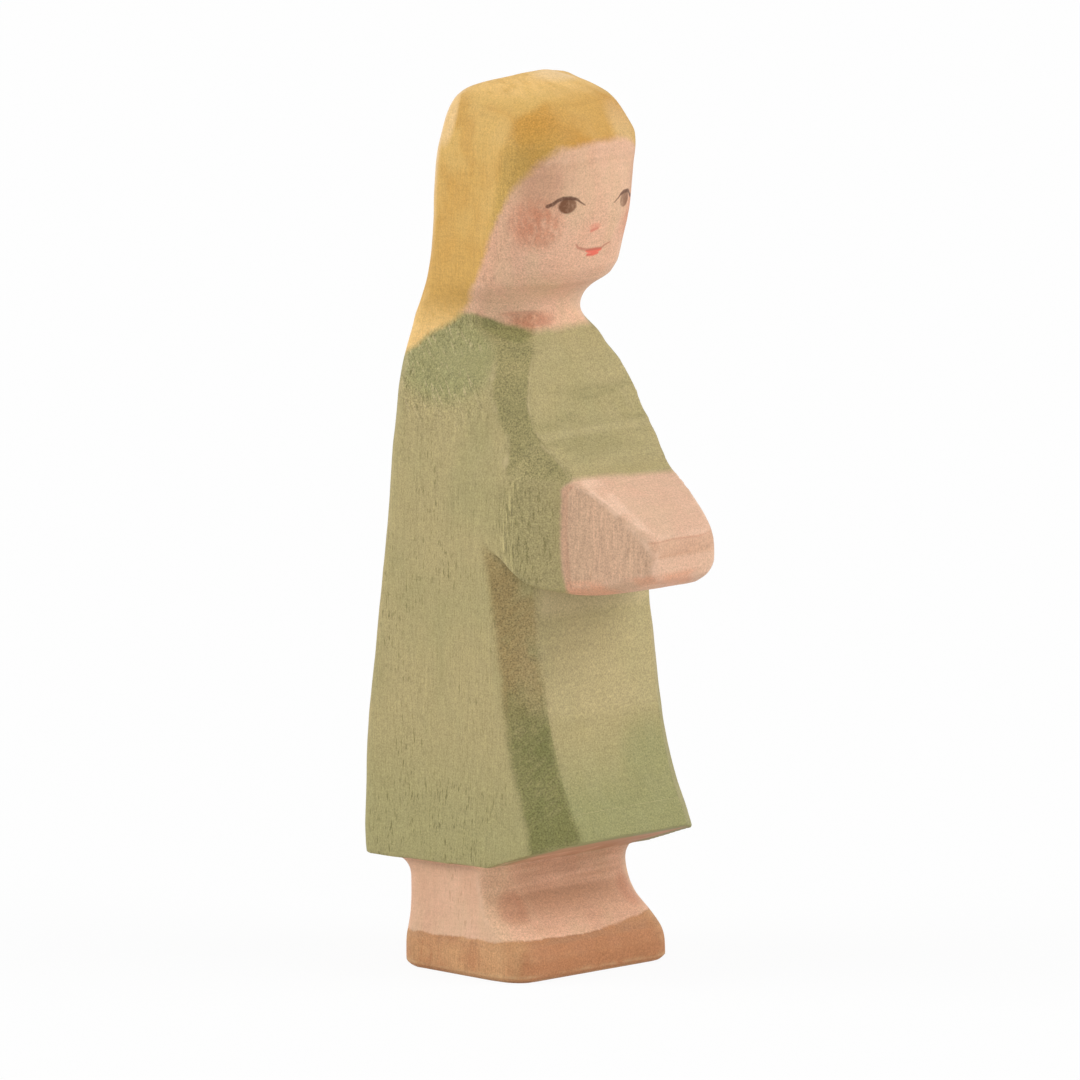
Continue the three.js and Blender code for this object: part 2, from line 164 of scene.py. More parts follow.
FLOOR_BELOW = -5.0
ABOVE = CROWN + 5
REGIONS = {
    "shoes": [(-FAR, FLOOR_BELOW), (FAR, FLOOR_BELOW), *SHOE_BORDER[::-1]],
    "legs": [*SHOE_BORDER, *HEM_PARTING[::-1]],
    "dress": [*HEM_PARTING, (FAR, BELOW_HANDS), *CUFF_BORDER, *COLLAR_BORDER[::-1], *HAIR_END[1:]],
    "hands": [*CUFF_BORDER[::-1], (FAR, BELOW_HANDS), (FAR, ABOVE_HANDS)],
    "head": [*COLLAR_BORDER[::-1], *HAIRLINE[::-1][1:]],
    "hair": [*HAIR_END[::-1], *HAIRLINE[::-1][1:], (PAST_FACE, ABOVE), (-FAR, ABOVE)],
}


def side_view(points):
    """The points as they are drawn on the side of the board: ahead and height."""
    return np.column_stack((TOE_AHEAD - (points[:, 1] - TOE_Y), points[:, 2]))


def distance_to(border, drawn):
    """How far each drawn point lies to the left of the border, which is an open chain of points."""
    nearest = np.full(len(drawn), np.inf)
    signed = np.zeros(len(drawn))
    for start, end in zip(np.array(border[:-1]), np.array(border[1:])):
        along = end - start
        share = np.clip((drawn - start) @ along / (along @ along), 0, 1)
        away = drawn - (start + share[:, None] * along)
        gap = np.hypot(away[:, 0], away[:, 1])
        turn = along[0] * (drawn[:, 1] - start[1]) - along[1] * (drawn[:, 0] - start[0])
        closer = gap < nearest
        nearest = np.where(closer, gap, nearest)
        signed = np.where(closer, np.copysign(gap, turn), signed)
    return signed


# Carving

def points_of(mesh):
    flat = np.empty(len(mesh.vertices) * 3)
    mesh.vertices.foreach_get("co", flat)
    return flat.reshape(-1, 3) / MM


def move_points(mesh, points):
    mesh.vertices.foreach_set("co", (points * MM).ravel())
    mesh.update()


def normals_of(mesh):
    flat = np.empty(len(mesh.vertices) * 3)
    mesh.vertex_normals.foreach_get("vector", flat)
    return flat.reshape(-1, 3)


def evaluated(obj):
    graph = bpy.context.evaluated_depsgraph_get()
    return bpy.data.meshes.new_from_object(obj.evaluated_get(graph))


def new_object(name, data):
    obj = bpy.data.objects.new(name, data)
    bpy.context.scene.collection.objects.link(obj)
    return obj


def object_from(name, work):
    """A new object with the mesh that was worked on, whose work copy is then freed."""
    mesh = bpy.data.meshes.new(name)
    work.to_mesh(mesh)
    work.free()
    return new_object(name, mesh)


def welded_copy(name, source):
    work = bmesh.new()
    work.from_mesh(source)
    bmesh.ops.remove_doubles(work, verts=work.verts, dist=WELD_DISTANCE)
    return object_from(name, work)


def combine(obj, other, operation):
    """The boolean of two closed objects becomes the first one's mesh, and the second one is removed."""
    modifier = obj.modifiers.new("combine", "BOOLEAN")
    modifier.operation = operation
    modifier.solver = "MANIFOLD"
    modifier.object = other
    mesh = evaluated(obj)
    obj.modifiers.clear()
    obj.data = mesh
    bpy.data.objects.remove(other)


def relaxed(points, edges, rounds, keep=0.53):
    """Taubin smoothing: each round moves points half way to their neighbours' mean, then back by keep."""
    first, second = edges.T
    count = len(points)
    degree = np.bincount(edges.ravel(), minlength=count)[:, None]
    moved = points.copy()
    for _ in range(rounds):
        for push in (0.5, -keep):
            total = np.column_stack([
                np.bincount(first, values[second], count) + np.bincount(second, values[first], count)
                for values in moved.T
            ])
            moved += push * (total / degree - moved)
    return moved


def ramp(values, start, end):
    share = np.clip((values - start) / (end - start), 0, 1)
    return share * share * (3 - 2 * share)


def knife_wobble(points, normals):
    """Low waves that a knife and sandpaper leave, deeper on the ends of the wood than on its sides."""
    wave = np.array([
        noise.noise(Vector(p) * LONG_WAVE) + SHORT_SHARE * noise.noise(Vector(p) * SHORT_WAVE)
        for p in points
    ])
    depth = WAVE_DEPTH - LESS_ON_SIDES * np.abs(normals[:, 0])
    return points + normals * (wave * depth)[:, None]


def near_elbow_bend(points):
    """1 at the upright bend where each sleeve turns in to the hands, and 0 away from it."""
    across = (np.abs(points[:, 0]) - BEND_PLACE[0]) / BEND_REACH[0]
    along = (side_view(points)[:, 0] - BEND_PLACE[1]) / BEND_REACH[1]
    inside = ramp(points[:, 2], 40.5, 42.5) * ramp(points[:, 2], 51.5, 49.5)
    return np.exp(-across ** 2 - along ** 2) * inside


def corner_facets(points, normals):
    """1 on the facets that are carved off the front corners, but not on the sleeves, and 0 elsewhere."""
    level = np.hypot(normals[:, 0], normals[:, 1])
    across = np.abs(normals[:, 0]) / np.maximum(level, 0.01)
    between = ramp(across, 0.3, 0.5) * ramp(across, 0.97, 0.91)
    facing = ramp(normals[:, 1], 0.1, -0.1) * ramp(level, 0.3, 0.5)
    ahead, height = side_view(points).T
    sleeve = ramp(ahead, -2.4, -1.4) * ramp(height, 37.5, 38.5) * ramp(height, 50.2, 49.2)
    return between * facing * (1 - sleeve * ramp(np.abs(points[:, 0]), 6, 7))


def carved_figure():
    """The whole figure as one fine mesh: the solids joined, their facets melted and their edges eased."""
    figure = welded_copy("figure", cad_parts["dress"].data)
    for name in ("hands", "head", "hair", "legs", "shoes"):
        combine(figure, welded_copy("other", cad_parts[name].data), "UNION")
    remesh = figure.modifiers.new("remesh", "REMESH")
    remesh.mode = "VOXEL"
    remesh.voxel_size = VOXEL * MM
    mesh = evaluated(figure)
    figure.modifiers.clear()
    figure.data = mesh

    edges = np.empty(len(mesh.edges) * 2, dtype=np.int64)
    mesh.edges.foreach_get("vertices", edges)
    edges = edges.reshape(-1, 2)
    crisp = relaxed(points_of(mesh), edges, FACET_ROUNDS)
    soft = relaxed(crisp, edges, MELT_ROUNDS, keep=0.3)
    shift = np.linalg.norm(soft - crisp, axis=1)[:, None]
    melted = soft + (crisp - soft) * ramp(shift, *MELT_SHIFT)
    melted = relaxed(melted, edges, 2)
    bend = near_elbow_bend(melted)[:, None]
    melted = melted + (relaxed(melted, edges, BEND_ROUNDS, keep=0.3) - melted) * bend
    move_points(mesh, melted)
    corner = corner_facets(melted, normals_of(mesh))
    corner = relaxed(corner[:, None], edges, CORNER_ROUNDS, keep=0)[:, 0]
    carved = knife_wobble(melted, normals_of(mesh))
    carved[:, 2] = np.where(melted[:, 2] < FLAT_SOLE, melted[:, 2], carved[:, 2])
    carved[:, 2] = np.maximum(carved[:, 2], 0)
    move_points(mesh, carved)

    eased = relaxed(carved, edges, EDGE_ROUNDS, keep=0)
    levelled = relaxed(eased, edges, HOLLOW_ROUNDS, keep=0)
    normals = normals_of(mesh)
    edge = ((carved - eased) * normals).sum(axis=1)
    hollow = ((levelled - carved) * normals).sum(axis=1)
    return figure, {"edge": edge, "hollow": hollow, "corner": corner}


def prism(outline):
    """A closed block across the board with the outline, which is drawn as ahead and height."""
    work = bmesh.new()
    loops = [
        [work.verts.new(Vector((x, TOE_Y + TOE_AHEAD - ahead, height)) * MM) for ahead, height in outline]
        for x in (-FAR, FAR)
    ]
    work.faces.new(loops[0])
    work.faces.new(loops[1][::-1])
    for here in range(len(outline)):
        after = (here + 1) % len(outline)
        work.faces.new((loops[0][after], loops[0][here], loops[1][here], loops[1][after]))
    bmesh.ops.recalc_face_normals(work, faces=work.faces)
    return object_from("prism", work)


def region_piece(name, figure, relief, tree):
    """One region of the carved figure, whose points carry the measures that the paints follow."""
    piece = new_object(name + "_carved", figure.data.copy())
    combine(piece, prism(REGIONS[name]), "INTERSECT")
    mesh = piece.data
    mesh.materials.clear()
    points = points_of(mesh)
    drawn = side_view(points)
    nearest = np.array([tree.find(p)[1] for p in points])
    measures = {label: values[nearest] for label, values in relief.items()} | {
        "in_hair": -distance_to([*HAIRLINE, *HAIR_END[1:]], drawn),
        "over_collar": distance_to([*HAIR_END[::-1][:-1], *COLLAR_BORDER], drawn),
        "over_hem": distance_to(HEM_BORDER, drawn),
        "over_shoe": distance_to(SHOE_BORDER, drawn),
        "past_cuff": -distance_to(CUFF_BORDER, drawn),
    }
    for label, values in measures.items():
        mesh.attributes.new(label, "FLOAT", "POINT").data.foreach_set("value", values)
    mesh.shade_smooth()
    mesh.set_sharp_from_angle(angle=math.radians(SHARP_DEGREES))
    return piece


# Materials

# The Mix node's sockets for colours
MIX_SHARE = 0
MIX_FIRST = 6
MIX_SECOND = 7
MIX_RESULT = 2


class Paint:
    """One material's nodes, with short calls for the nodes that the paints are made of."""

    def __init__(self, name):
        self.material = bpy.data.materials.new(name)
        self.material.use_nodes = True
        self.nodes = self.material.node_tree.nodes
        self.links = self.material.node_tree.links
        self.shader = self.nodes["Principled BSDF"]
        coordinates = self.nodes.new("ShaderNodeTexCoord")
        scaled = self.nodes.new("ShaderNodeVectorMath")
        scaled.operation = "SCALE"
        self.links.new(coordinates.outputs["Object"], scaled.inputs[0])
        scaled.inputs["Scale"].default_value = 1 / MM
        self.place = scaled.outputs[0]
        self.u, y, self.height = self.split(self.place)
        self.off_centre = self.math("ABSOLUTE", self.u)
        self.ahead = self.math("SUBTRACT", TOE_Y + TOE_AHEAD, y)
        self.beside = self.math("MULTIPLY", self.math("ADD", self.u, self.ahead), math.sqrt(0.5))
        across, along, up = self.split(coordinates.outputs["Normal"])
        self.slant = self.math("ABSOLUTE", across)
        self.backward = self.ramp(along, 0.1, 0.5)
        self.sideways = self.ramp(self.slant, 0.75, 0.97)
        self.forward = self.ramp(along, -0.55, -0.9)
        self.forward_half = self.ramp(along, -0.2, -0.5)
        self.upward = self.ramp(up, 0.35, 0.75)
        self.downward = self.ramp(up, -0.25, -0.6)
        self.under = self.ramp(up, -0.6, -0.9)
        self.front_place = (self.u, self.height)
        self.side_place = (self.ahead, self.height)

    def split(self, vector):
        node = self.nodes.new("ShaderNodeSeparateXYZ")
        self.links.new(vector, node.inputs[0])
        return node.outputs

    def put(self, socket, value):
        if isinstance(value, bpy.types.NodeSocket):
            self.links.new(value, socket)
        else:
            socket.default_value = value

    def math(self, operation, *values):
        node = self.nodes.new("ShaderNodeMath")
        node.operation = operation
        for socket, value in zip(node.inputs, values):
            self.put(socket, value)
        return node.outputs[0]

    def chain(self, operation, values):
        total = values[0]
        for value in values[1:]:
            total = self.math(operation, total, value)
        return total

    def add(self, *values):
        return self.chain("ADD", values)

    def times(self, *values):
        return self.chain("MULTIPLY", values)

    def most(self, *values):
        return self.chain("MAXIMUM", values)

    def rest(self, value):
        return self.math("SUBTRACT", 1.0, value)

    def ramp(self, value, start, end, low=0.0, high=1.0):
        """A smooth step from low to high as the value goes from start to end."""
        node = self.nodes.new("ShaderNodeMapRange")
        node.interpolation_type = "SMOOTHSTEP"
        for label, number in (("From Min", start), ("From Max", end), ("To Min", low), ("To Max", high)):
            node.inputs[label].default_value = number
        self.put(node.inputs["Value"], value)
        return node.outputs[0]

    def band(self, value, start, end, fade):
        """1 while the value is between start and end."""
        return self.times(self.ramp(value, start - fade, start), self.ramp(value, end + fade, end))

    def leaning(self, lean):
        """The place, with height that climbs by lean for each millimetre towards the left or the front."""
        node = self.nodes.new("ShaderNodeCombineXYZ")
        height = self.math("SUBTRACT", self.height, self.times(self.beside, lean))
        for socket, value in zip(node.inputs, (self.u, self.ahead, height)):
            self.put(socket, value)
        return node.outputs[0]

    def noise(self, waves, detail=3.0, offset=(0, 0, 0), lean=0.0, roughness=0.55):
        """Noise from 0 to 1, with so many waves per millimetre along each axis, in a pattern that leans."""
        mapping = self.nodes.new("ShaderNodeMapping")
        mapping.vector_type = "TEXTURE"
        mapping.inputs["Location"].default_value = offset
        mapping.inputs["Scale"].default_value = [1 / count for count in waves]
        self.links.new(self.leaning(lean) if lean else self.place, mapping.inputs["Vector"])
        node = self.nodes.new("ShaderNodeTexNoise")
        node.inputs["Scale"].default_value = 1.0
        node.inputs["Detail"].default_value = detail
        node.inputs["Roughness"].default_value = roughness
        self.links.new(mapping.outputs[0], node.inputs["Vector"])
        return node.outputs[0]

    def waver(self, waves, amount, **settings):
        """Noise around 0."""
        return self.times(self.math("SUBTRACT", self.noise(waves, **settings), 0.5), amount)

    def patches(self, waves, low, high, most=1.0, **settings):
        """Noise with clear patches of 0 and of the most."""
        return self.ramp(self.noise(waves, **settings), low, high, 0.0, most)

    def attribute(self, label):
        node = self.nodes.new("ShaderNodeAttribute")
        node.attribute_name = label
        return node.outputs["Fac"]

    def mix(self, share, first, second):
        node = self.nodes.new("ShaderNodeMix")
        node.data_type = "RGBA"
        self.put(node.inputs[MIX_SHARE], share)
        self.put(node.inputs[MIX_FIRST], first)
        self.put(node.inputs[MIX_SECOND], second)
        return node.outputs[MIX_RESULT]

    def shade(self, colour, brightness):
        """The colour made lighter or darker by a factor."""
        node = self.nodes.new("ShaderNodeVectorMath")
        node.operation = "SCALE"
        self.put(node.inputs[0], colour)
        self.put(node.inputs["Scale"], brightness)
        return node.outputs[0]

    def spot(self, centre, radii, softness=0.6, mirrored=False):
        """1 inside a soft ellipsoid whose centre and radii are in u, ahead and height."""
        squares = []
        for value, middle, radius in zip((self.u, self.ahead, self.height), centre, radii):
            if mirrored and value is self.u:
                value = self.off_centre
            offset = self.math("DIVIDE", self.math("SUBTRACT", value, middle), radius)
            squares.append(self.times(offset, offset))
        return self.ramp(self.add(*squares), 1 + softness, 1 - softness)

    def oval(self, place, centre, radii, softness):
        """1 inside a soft ellipse, where the place is a pair of coordinates on the figure."""
        right = self.math("DIVIDE", self.math("SUBTRACT", place[0], centre[0]), radii[0])
        up = self.math("DIVIDE", self.math("SUBTRACT", place[1], centre[1]), radii[1])
        square = self.add(self.times(right, right), self.times(up, up))
        return self.ramp(square, 1 + softness, 1 - softness)

    def stroke(self, place, start, end, thick, fade):
        """1 along a brush stroke from one place to another, thick at its start and its end by so much."""
        along = (end[0] - start[0], end[1] - start[1])
        length = math.hypot(*along)
        right = self.math("SUBTRACT", place[0], start[0])
        up = self.math("SUBTRACT", place[1], start[1])
        run = self.add(self.times(right, along[0] / length), self.times(up, along[1] / length))
        held = self.math("MINIMUM", self.math("MAXIMUM", run, 0.0), length)
        right_gap = self.math("SUBTRACT", right, self.times(held, along[0] / length))
        up_gap = self.math("SUBTRACT", up, self.times(held, along[1] / length))
        square = self.add(self.times(right_gap, right_gap), self.times(up_gap, up_gap))
        share = self.math("DIVIDE", held, length)
        radius = self.add(thick[0], self.times(share, thick[1] - thick[0]))
        edge = self.math("SUBTRACT", self.math("SQRT", square), radius)
        return self.ramp(edge, fade, -fade)

    def strokes(self, place, points, fade=0.08):
        """A chain of brush strokes through the points, each a pair of coordinates and a half thickness."""
        return self.most(*(
            self.stroke(place, start[:2], end[:2], (start[2], end[2]), fade)
            for start, end in zip(points, points[1:])
        ))

    def finish(self, colour, roughness, height):
        self.put(self.shader.inputs["Base Color"], colour)
        self.put(self.shader.inputs["Roughness"], roughness)
        self.shader.inputs["Specular IOR Level"].default_value = STAIN_GLOSS
        bump = self.nodes.new("ShaderNodeBump")
        bump.inputs["Strength"].default_value = BUMP_STRENGTH
        bump.inputs["Distance"].default_value = BUMP_DEPTH * MM
        self.put(bump.inputs["Height"], height)
        self.links.new(bump.outputs[0], self.shader.inputs["Normal"])
        return self.material


# A thin matt stain, and the fine relief of the grain under it
STAIN_GLOSS = 0.3
BUMP_STRENGTH = 0.6
BUMP_DEPTH = 0.05

# Stains and paints, as linear colours
BARE_WOOD = (0.62, 0.43, 0.23, 1)
DRESS_WARM = (0.395, 0.322, 0.151, 1)
DRESS_GREEN = (0.283, 0.27, 0.113, 1)
DRESS_LIGHT = (0.52, 0.42, 0.225, 1)
DRESS_BROWN = (0.31, 0.222, 0.09, 1)
DRESS_DEEP = (0.185, 0.178, 0.06, 1)
DRESS_OLIVE = (0.28, 0.243, 0.103, 1)
DRESS_DARK = (0.15, 0.13, 0.045, 1)
SKIN = (0.72, 0.435, 0.29, 1)
SKIN_PINK = (0.64, 0.35, 0.225, 1)
SKIN_WOOD = (0.63, 0.43, 0.26, 1)
SKIN_PALE = (0.63, 0.42, 0.295, 1)
SKIN_SHADE = (0.50, 0.32, 0.20, 1)
SKIN_WARM = (0.48, 0.255, 0.145, 1)
SKIN_RED = (0.45, 0.19, 0.105, 1)
SKIN_DARK = (0.36, 0.19, 0.10, 1)
SKIN_LIGHT = (0.84, 0.59, 0.43, 1)
SALMON = (0.70, 0.31, 0.18, 1)
BLUSH = (0.54, 0.19, 0.095, 1)
HAIR = (0.614, 0.386, 0.115, 1)
HAIR_DEEP = (0.51, 0.25, 0.038, 1)
HAIR_OLIVE = (0.48, 0.305, 0.078, 1)
HAIR_LIGHT = (0.75, 0.485, 0.18, 1)
HAIR_PEACH = (0.80, 0.60, 0.38, 1)
SHOE = (0.51, 0.276, 0.128, 1)
SHOE_DEEP = (0.375, 0.142, 0.059, 1)
LID_BROWN = (0.125, 0.052, 0.028, 1)
IRIS_BROWN = (0.18, 0.074, 0.034, 1)
SMILE_RED = (0.43, 0.14, 0.085, 1)
LIP_RED = (0.78, 0.13, 0.085, 1)


# Brush marks, as points with two coordinates on the figure and a half thickness. The eyelid's first one is
# the distance from the middle, because both eyes are drawn at once.
EYELID = [
    (2.0, 76.12, 0.04), (2.65, 76.52, 0.08), (3.05, 76.82, 0.14), (3.7, 76.98, 0.19), (4.4, 76.99, 0.18),
    (4.83, 76.8, 0.17), (5.22, 76.45, 0.18), (5.66, 76.25, 0.18),
]
IRIS_CENTRE = (3.88, 76.22)
IRIS_RADII = (0.87, 0.79)
LEFT_EYE_LOWER = 0.18
NOSE = [(-0.66, 73.42, 0.15), (0.12, 73.6, 0.13)]
SMILE = [
    (-2.21, 72.14, 0.08), (-1.87, 71.79, 0.12), (-1.33, 71.62, 0.13), (-0.78, 71.48, 0.14),
    (0.2, 71.43, 0.14), (1.4, 71.42, 0.12), (1.85, 71.66, 0.1), (2.55, 71.86, 0.07),
]
UPPER_LIP = [(-0.72, 71.36, 0.1), (-0.3, 71.28, 0.22), (0.5, 71.24, 0.28), (1.35, 71.3, 0.15)]
LOWER_LIP = [(-0.45, 70.92, 0.13), (0.3, 70.92, 0.2), (1.0, 70.97, 0.13)]
HANDS_FOLD = [(-4.4, 44.42, 0.03), (-1.5, 44.6, 0.07), (2, 44.5, 0.06), (4.4, 44.7, 0.03)]
SLEEVE_CREASE = [(-1.0, 54.2, 0.06), (0.45, 52.6, 0.1), (3.0, 50.25, 0.05)]


def wood_marks(paint, coarse, fibrous):
    """Brightness that pigment, fibres and brush lines give, and the share of dark pores."""
    across_grain = paint.rest(paint.sideways)
    speckle = paint.waver((6.2, 6.2, 6.2), 0.62, detail=1, offset=(5, 1, 4))
    grit = paint.waver((2.7, 2.7, 2.5), 0.28, detail=4, roughness=0.75)
    fibres = paint.times(paint.waver((4.2, 4.2, 0.4), 0.34, detail=3), paint.sideways, fibrous)
    weft = paint.times(paint.waver((0.45, 0.45, 3.8), 0.18, detail=2, offset=(4, 8, 1)), paint.sideways)
    brush_lines = paint.times(paint.waver((0.12, 0.3, 2.2), 0.2, detail=4), across_grain)
    brightness = paint.add(1.0, paint.times(paint.add(speckle, grit, fibres), coarse), weft, brush_lines)
    crowded = paint.patches((0.16, 0.16, 0.12), 0.4, 0.65, offset=(6, 3, 8))
    pores = paint.patches((4.6, 4.6, 1.0), 0.57, 0.7, detail=2)
    return brightness, paint.times(pores, paint.sideways, paint.add(0.3, crowded))


def wear_highlight_and_hollow_shade(paint, colour, amount, light):
    """Lighter edges, where handling thinned the stain and a highlight is painted, and painted shade in the
    hollows.
    """
    patchy = paint.patches((0.6, 0.6, 0.6), 0.3, 0.62, offset=(3, 7, 1))
    open_side = paint.rest(paint.downward)
    # The edges that do not face down are lightened: stain thinned by handling, and a painted highlight.
    edge = paint.times(paint.ramp(paint.attribute("edge"), 0.004, 0.03), patchy, open_side, amount)
    # Painted shade darkens the hollows.
    hollow = paint.ramp(paint.attribute("hollow"), 0.02, 0.2, 1.0, 0.82)
    return paint.mix(edge, paint.shade(colour, hollow), light)


def finished(paint, colour, dark, pore_share, light, wear_and_highlight, coarse=1.0, fibrous=1.0):
    """The colour with the marks of the wood and its pores, lighter edges with a painted highlight, and
    painted shade in hollows.
    """
    brightness, pores = wood_marks(paint, coarse, fibrous)
    colour = paint.shade(colour, brightness)
    colour = paint.mix(paint.times(pores, pore_share), colour, dark)
    return wear_highlight_and_hollow_shade(paint, colour, wear_and_highlight, light)


def dress_corner_stain_and_shade(paint, colour):
    """Carved corners with more stain and painted shade: olive at the chest, brown under the elbow, dark
    green below.
    """
    brownish = paint.patches((0.3, 0.3, 0.24), 0.3, 0.55, offset=(3, 1, 6))
    brown = paint.mix(paint.most(brownish, paint.ramp(paint.height, 32, 35)), DRESS_OLIVE, DRESS_BROWN)
    low = paint.mix(paint.ramp(paint.height, 30.5, 23.5), brown, DRESS_DEEP)
    stain = paint.mix(paint.ramp(paint.height, 43, 47), low, DRESS_OLIVE)
    hatch = paint.patches((0.4, 0.4, 2.6), 0.36, 0.6, 0.2, offset=(1, 2, 3), lean=0.8)
    cloud = paint.waver((0.3, 0.3, 0.22), 1.3, detail=3, offset=(2, 9, 4))
    chest = paint.band(paint.height, 55.5, 59, 1.0)
    strength = paint.add(paint.ramp(paint.height, 45, 38, 0.62, 0.78), hatch, cloud)
    collar = paint.ramp(paint.height, 59.5, 61.5, 0.0, 0.25)
    strength = paint.add(strength, paint.times(chest, 0.15), collar)
    less_on_left = paint.ramp(paint.u, 2, 6, 1.0, 0.3)
    # The corner facets are darkened with stain and painted shade, less on the left side.
    colour = paint.mix(paint.times(paint.attribute("corner"), less_on_left, strength), colour, stain)
    # A dark green edge of stain and painted shade on the corner facets, low on the skirt.
    dark_corner_edge = paint.patches((0.4, 0.4, 0.3), 0.35, 0.6, 0.6)
    dark_corner_edge = paint.times(dark_corner_edge, paint.band(paint.slant, 0.35, 0.6, 0.15), paint.forward_half)
    dark_corner_edge = paint.times(dark_corner_edge, paint.band(paint.height, 18.5, 29, 1.5))
    return paint.mix(paint.times(dark_corner_edge, less_on_left), colour, DRESS_DEEP)


def dress_paint(paint):
    shoulder = paint.spot((8.6, -12.0, 60.6), (4.5, 6.4, 4.6), 0.55, mirrored=True)
    sleeve = paint.spot((9.2, -0.2, 44.5), (2.6, 3.2, 6.5), 0.8, mirrored=True)
    skirt = paint.times(paint.spot((5.5, 3, 18.5), (5.5, 5, 6.5), 0.8), paint.forward)
    blotch = paint.patches((0.11, 0.11, 0.09), 0.4, 0.68, 0.35)
    hem = paint.ramp(paint.height, 27, 13, 0.0, 0.6)
    green = paint.most(
        blotch, paint.times(shoulder, 0.85), paint.times(sleeve, 0.3), paint.times(skirt, 0.9), hem,
        paint.times(hem, paint.forward, 2.2),
    )
    colour = paint.mix(green, DRESS_WARM, DRESS_GREEN)

    light_dashes = paint.patches((1.0, 1.0, 1.5), 0.56, 0.64, 0.55, offset=(5, 5, 5), lean=-2.0)
    dark_dashes = paint.patches((1.1, 1.1, 1.6), 0.6, 0.7, 0.5, offset=(1, 8, 3), lean=-2.0)
    scratched = paint.spot((8.8, -12.0, 59.6), (4.5, 6.8, 6.0), 0.6, mirrored=True)
    scratched = paint.times(scratched, paint.sideways)
    colour = paint.mix(paint.times(light_dashes, scratched), colour, DRESS_LIGHT)
    colour = paint.mix(paint.times(dark_dashes, scratched), colour, DRESS_DARK)

    across_front = paint.rest(paint.sideways)
    smudges = paint.patches((0.12, 0.2, 0.6), 0.45, 0.62, offset=(8, 1, 5))
    smudges = paint.times(smudges, paint.band(paint.height, 52, 57, 1.5), across_front, 0.5)
    colour = paint.mix(smudges, colour, DRESS_OLIVE)
    colour = dress_corner_stain_and_shade(paint, colour)
    thin_at_cuff = paint.band(paint.attribute("past_cuff"), -4.5, 1.0, 1.5)
    thin_at_cuff = paint.times(thin_at_cuff, paint.forward, 0.3)
    middle = paint.ramp(paint.off_centre, 8.4, 6.6)
    # Painted light on the front just below the hands, where their shadow falls.
    painted_light_under_hands = paint.times(paint.band(paint.height, 37, 40, 2.5), paint.forward, middle)
    colour = paint.mix(paint.most(thin_at_cuff, painted_light_under_hands), colour, DRESS_LIGHT)
    # A dark green line along the collar in front, with painted shade below the neck.
    collar_line_and_neck_shade = paint.times(
        paint.band(paint.attribute("over_collar"), -0.55, 0.4, 0.35),
        paint.band(paint.ahead, -9, -5.4, 0.8),
        paint.ramp(paint.u, 2.5, -2.5),
    )
    colour = paint.mix(paint.times(collar_line_and_neck_shade, 0.6), colour, DRESS_DEEP)
    # A dark line of painted shade where the sleeve folds in towards the chest.
    crease_shade = paint.strokes(paint.side_place, SLEEVE_CREASE, 0.12)
    crease_shade = paint.times(crease_shade, paint.ramp(paint.slant, 0.1, 0.25), 0.4)
    colour = paint.mix(crease_shade, colour, DRESS_DARK)

    rough_end = paint.patches((4.6, 4.6, 0.8), 0.54, 0.64, 0.5, detail=2, offset=(2, 2, 7))
    rough_end = paint.times(rough_end, sleeve, paint.ramp(paint.height, 50, 48))
    colour = paint.mix(rough_end, colour, DRESS_DARK)
    coarse = paint.add(1.5, paint.times(paint.sideways, -0.25), paint.times(sleeve, 0.5))
    fibrous = paint.add(1.0, paint.times(sleeve, 2.2))
    coarse = paint.add(coarse, paint.times(scratched, 0.9), paint.times(paint.attribute("corner"), 0.9))
    # How much the edges are lightened by thinned stain and a painted highlight: more on slanted sides and
    # higher up.
    wear_and_highlight = paint.ramp(paint.slant, 0.4, 0.62, 0.25, 1.0)
    wear_and_highlight = paint.times(paint.ramp(paint.height, 40, 50, 0.1, 0.7), wear_and_highlight)
    colour = finished(paint, colour, DRESS_DARK, 0.7, DRESS_LIGHT, wear_and_highlight, coarse, fibrous)
    underside = paint.mix(paint.ramp(paint.ahead, 3.0, 4.6), SKIN_WARM, DRESS_GREEN)
    underside = paint.mix(paint.ramp(paint.off_centre, 7.5, 9.5), underside, DRESS_OLIVE)
    below = paint.times(paint.under, paint.ramp(paint.height, 17, 16))
    return paint.mix(below, colour, underside)


def skin_base(paint):
    pink = paint.patches((0.2, 0.2, 0.15), 0.36, 0.66, 0.6, offset=(5, 1, 2), detail=4)
    colour = paint.mix(pink, SKIN, SKIN_PINK)
    woody = paint.patches((0.26, 0.26, 0.1), 0.42, 0.68, 0.55, offset=(8, 3, 4))
    return paint.mix(woody, colour, SKIN_WOOD)


def skin_finish(paint, colour, coarse=1.0, fibrous=1.0):
    return finished(paint, colour, SKIN_DARK, 0.35, SKIN_LIGHT, 0.4, coarse, fibrous)


